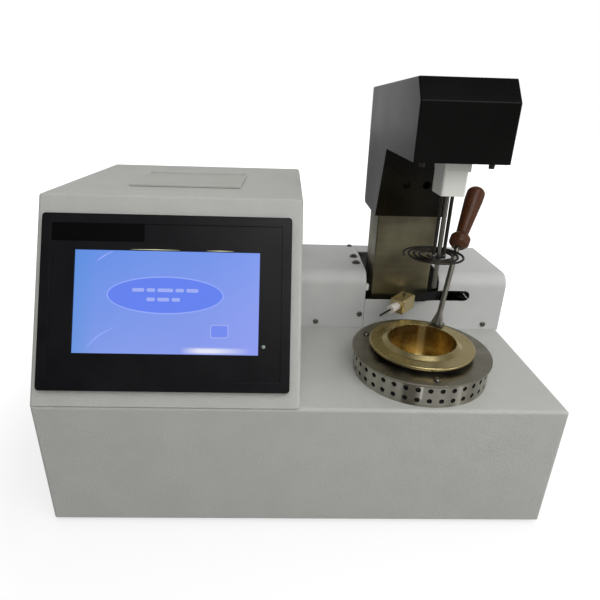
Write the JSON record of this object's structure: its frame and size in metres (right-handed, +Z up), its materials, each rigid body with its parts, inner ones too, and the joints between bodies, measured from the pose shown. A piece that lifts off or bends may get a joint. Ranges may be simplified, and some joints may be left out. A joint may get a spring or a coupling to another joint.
{
  "type": "flash point tester",
  "caption": "Automatic open-cup flash point tester: screen console and base, brass test cup on a ring heater, lift arm with probe head, and swinging gas igniter.",
  "frame": {"origin": "on the bench under the middle of the box that holds the whole tester", "axes": "+X to the operator's right, +Y to the back, +Z up"},
  "size_m": [0.456, 0.2726, 0.3862],
  "materials": {
    "housing_paint": "textured light grey powder coat",
    "cover_paint": "smooth white-grey powder coat",
    "black_paint": "satin black coat",
    "black_plastic": "fine-grained black plastic",
    "screen": "backlit display glass",
    "led": "clear diffused lens",
    "rocker_red": "glossy",
    "rubber": "matte",
    "stainless": "brushed",
    "bright_steel": "bright plated",
    "dark_wire": "oxidised",
    "iron": "cast",
    "insulation": "rough mineral board",
    "brass": "turned",
    "white_plastic": "white fluoropolymer",
    "white_ceramic": "unglazed",
    "wood": "varnished",
    "aluminium": "machined",
    "board": "solder mask",
    "zinc": "zinc plated sheet",
    "paper": "plain"
  },
  "bodies": {
    "base": {"base_shell": "housing_paint", "bottom_tray": "black_paint", "feet": "rubber", "rear_panel": "cover_paint", "console_shell": "housing_paint", "screen_bezel": "black_plastic", "screen_glass": "screen", "screen_housing": "black_plastic", "status_led": "led", "printer_bay": "black_plastic", "lid_pin": "bright_steel", "roll_spindle": "bright_steel", "print_head": "black_plastic", "rear_cover_left": "cover_paint", "rear_cover_right": "cover_paint", "cover_screws": "bright_steel", "heater_pot": "stainless", "hot_plate": "iron", "heating_element": "iron", "insulation_ring": "insulation", "perforated_ring": "stainless", "heater_disc": "stainless", "disc_screws": "bright_steel", "seat_ring": "insulation", "power_inlet": "black_plastic", "switch_frame": "black_plastic", "fan_frame": "black_plastic", "fan_guard": "bright_steel", "main_board": "board", "power_supply": "zinc", "lift_motor": "aluminium", "lift_bracket": "black_paint", "guide_rods": "bright_steel", "igniter_motor": "black_plastic"},
    "arm": {"arm_column": "stainless", "lift_carriage": "aluminium", "carriage_bushes": "brass", "lift_nut": "brass", "head_cover": "black_paint", "head_plate": "black_paint", "head_screws": "bright_steel", "sensor_block": "white_plastic", "electrode_rods": "dark_wire", "temperature_probe": "bright_steel", "ring_electrode": "dark_wire", "ring_clamps": "bright_steel"},
    "screw": {"lead_screw": "bright_steel"},
    "igniter": {"igniter_shaft": "bright_steel", "igniter_lever": "black_paint", "burner_block": "brass", "ceramic_sleeve": "white_ceramic", "igniter_nozzle": "dark_wire", "burner_screws": "bright_steel"},
    "cup": {"test_cup": "brass", "cup_handle": "bright_steel", "handle_grip": "wood"},
    "lid": {"printer_lid": "cover_paint"},
    "roll": {"paper_roll": "paper"},
    "fan": {"fan_rotor": "black_plastic"},
    "rocker": {"power_rocker": "rocker_red"}
  },
  "joints": [
    {"name": "arm_lift", "type": "slide", "parent": "base", "child": "arm", "axis": [0, 0, 1], "range_m": [-0.07, 0]},
    {"name": "screw_turn", "type": "hinge", "parent": "base", "child": "screw", "pos_m": [0.11, 0.04925, 0.12], "axis": [0, 0, 1], "range_deg": [-3150.01, 0]},
    {"name": "igniter_swing", "type": "hinge", "parent": "base", "child": "igniter", "pos_m": [0.178, 0.04075, 0.168], "axis": [0, 0, -1], "range_deg": [-19, 0]},
    {"name": "cup_lift", "type": "slide", "parent": "base", "child": "cup", "axis": [0, 0, 1], "range_m": [0, 0.045]},
    {"name": "lid_hinge", "type": "hinge", "parent": "base", "child": "lid", "pos_m": [-0.1132, 0.05685, 0.2914], "axis": [-1, 0, 0], "range_deg": [0, 100]},
    {"name": "roll_turn", "type": "hinge", "parent": "base", "child": "roll", "pos_m": [-0.11325, 0.03495, 0.261], "axis": [1, 0, 0], "continuous": true},
    {"name": "fan_turn", "type": "hinge", "parent": "base", "child": "fan", "pos_m": [-0.15, 0.12175, 0.074], "axis": [0, 1, 0], "continuous": true},
    {"name": "rocker_tilt", "type": "hinge", "parent": "base", "child": "rocker", "pos_m": [-0.03, 0.13125, 0.06], "axis": [-1, 0, 0], "range_deg": [0, 18]}
  ],
  "couplings": [
    {"joint": "screw_turn", "follows": "arm_lift", "rad_per_m": 785.4}
  ]
}
